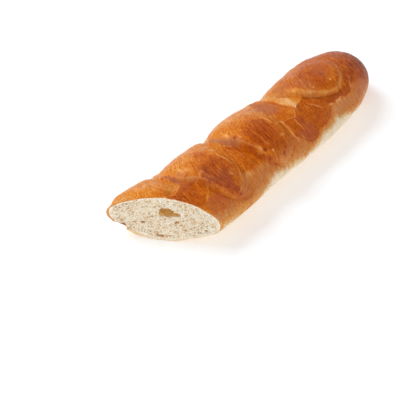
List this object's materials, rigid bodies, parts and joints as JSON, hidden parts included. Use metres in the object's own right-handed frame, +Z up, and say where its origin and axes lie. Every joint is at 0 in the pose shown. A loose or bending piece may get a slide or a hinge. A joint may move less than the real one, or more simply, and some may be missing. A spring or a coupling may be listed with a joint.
{
  "type": "baguette",
  "caption": "Short white baguette with a glossy brown crust and slanting scores, cut off at a slant at one end to show its pale crumb.",
  "frame": {"origin": "on the base plane, under the middle of the loaf's box", "axes": "+X along the loaf from the cut to the rounded end, +Z up from the underside; the scores run back towards the cut as they cross to the +Y side"},
  "size_m": [0.2984, 0.079, 0.0486],
  "materials": {
    "crust": "semi-gloss, egg-washed bread crust, golden to chestnut brown, cream underneath",
    "crumb": "matt, open-pored white bread crumb"
  },
  "bodies": {
    "root": {"baguette": "crust"}
  },
  "joints": []
}
